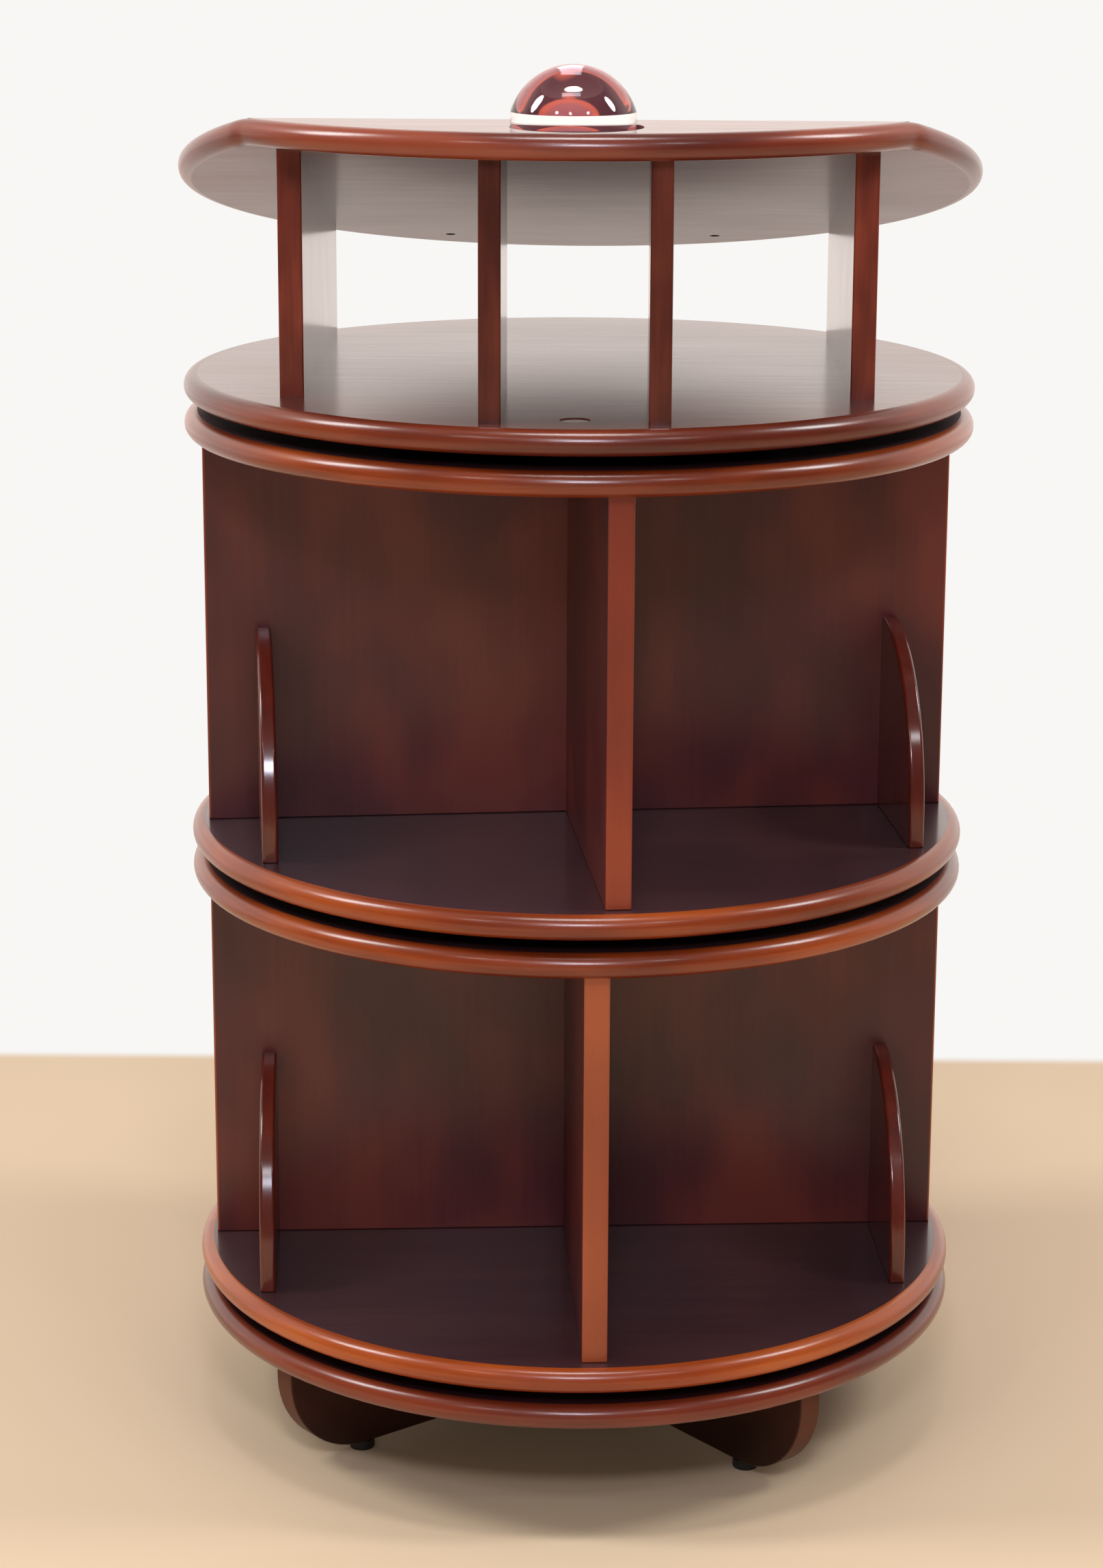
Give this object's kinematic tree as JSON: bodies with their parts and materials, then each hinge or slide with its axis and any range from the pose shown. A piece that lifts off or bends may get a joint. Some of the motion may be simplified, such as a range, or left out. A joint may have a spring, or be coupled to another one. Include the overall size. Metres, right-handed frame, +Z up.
{
  "type": "revolving bookcase",
  "caption": "Round mahogany revolving bookcase with stacked turning book tiers, an open gallery, a sloping reading board and a glass magnifier in the flat top strip.",
  "frame": {"origin": "on the turning axis, at the floor under the foot glides", "axes": "+Z up along the turning axis, -Y towards the front, where the flat strip with the magnifier is, and +X to the right seen from the front"},
  "size_m": [0.61, 0.6099, 1.0913],
  "materials": {
    "mahogany_board": "dark red-brown mahogany, satin lacquer, straight grain",
    "mahogany_lipping": "red-brown solid mahogany lipping, glossy lacquer",
    "mahogany_trim": "red-brown solid mahogany, satin lacquer",
    "mahogany_leg": "very dark mahogany, satin lacquer",
    "beech_dowel": "plain turned beech, unfinished",
    "pale_plug": "pale sanded wood, matt",
    "zinc_ring": "zinc-plated steel, dull",
    "ball_steel": "polished bearing steel",
    "screw_steel": "dark zinc-plated steel",
    "black_glide": "moulded black plastic, matt",
    "clear_glass": "clear polished glass"
  },
  "bodies": {
    "base": {"base_disc": "mahogany_board", "base_disc_lipping": "mahogany_lipping", "base_fixed_ring": "zinc_ring", "base_ring_balls": "ball_steel", "base_ring_screws": "screw_steel", "foot_glides": "black_glide", "leg_plank_over": "mahogany_leg", "leg_plank_under": "mahogany_leg", "leg_screws": "screw_steel"},
    "lower_tier": {"lower_cap": "mahogany_board", "lower_cap_lipping": "mahogany_lipping", "lower_divider_front": "mahogany_board", "lower_divider_rear": "mahogany_board", "lower_fixed_ring": "zinc_ring", "lower_panel_dowels": "beech_dowel", "lower_ring_balls": "ball_steel", "lower_ring_screws": "screw_steel", "lower_shelf": "mahogany_board", "lower_shelf_lipping": "mahogany_lipping", "lower_stop_dowels": "beech_dowel", "lower_stop_front_left": "mahogany_trim", "lower_stop_front_right": "mahogany_trim", "lower_stop_rear_left": "mahogany_trim", "lower_stop_rear_right": "mahogany_trim", "lower_turning_ring": "zinc_ring", "lower_wall": "mahogany_board"},
    "upper_tier": {"upper_cap": "mahogany_board", "upper_cap_lipping": "mahogany_lipping", "upper_divider_front": "mahogany_board", "upper_divider_rear": "mahogany_board", "upper_fixed_ring": "zinc_ring", "upper_panel_dowels": "beech_dowel", "upper_ring_balls": "ball_steel", "upper_ring_screws": "screw_steel", "upper_shelf": "mahogany_board", "upper_shelf_lipping": "mahogany_lipping", "upper_stop_dowels": "beech_dowel", "upper_stop_front_left": "mahogany_trim", "upper_stop_front_right": "mahogany_trim", "upper_stop_rear_left": "mahogany_trim", "upper_stop_rear_right": "mahogany_trim", "upper_turning_ring": "zinc_ring", "upper_wall": "mahogany_board"},
    "gallery": {"book_ledge": "mahogany_trim", "fin_inner_left": "mahogany_trim", "fin_inner_right": "mahogany_trim", "fin_outer_left": "mahogany_trim", "fin_outer_right": "mahogany_trim", "front_plug": "pale_plug", "gallery_base": "mahogany_board", "gallery_base_lipping": "mahogany_lipping", "gallery_dowels": "beech_dowel", "gallery_ring_screws": "screw_steel", "gallery_turning_ring": "zinc_ring", "ledge_screws": "screw_steel", "reading_board": "mahogany_board", "reading_board_lipping": "mahogany_lipping", "top_strip": "mahogany_board", "top_strip_lipping": "mahogany_lipping"},
    "magnifier": {"magnifier": "clear_glass"}
  },
  "joints": [
    {"name": "lower_spin", "type": "hinge", "parent": "base", "child": "lower_tier", "pos_m": [0, 0, 0.114], "axis": [0, 0, 1], "continuous": true},
    {"name": "upper_spin", "type": "hinge", "parent": "lower_tier", "child": "upper_tier", "pos_m": [0, 0, 0.467], "axis": [0, 0, 1], "continuous": true},
    {"name": "gallery_spin", "type": "hinge", "parent": "upper_tier", "child": "gallery", "pos_m": [0, 0, 0.82], "axis": [0, 0, 1], "continuous": true},
    {"name": "magnifier_lift", "type": "slide", "parent": "gallery", "child": "magnifier", "axis": [0, 0, 1], "range_m": [0, 0.06]}
  ]
}
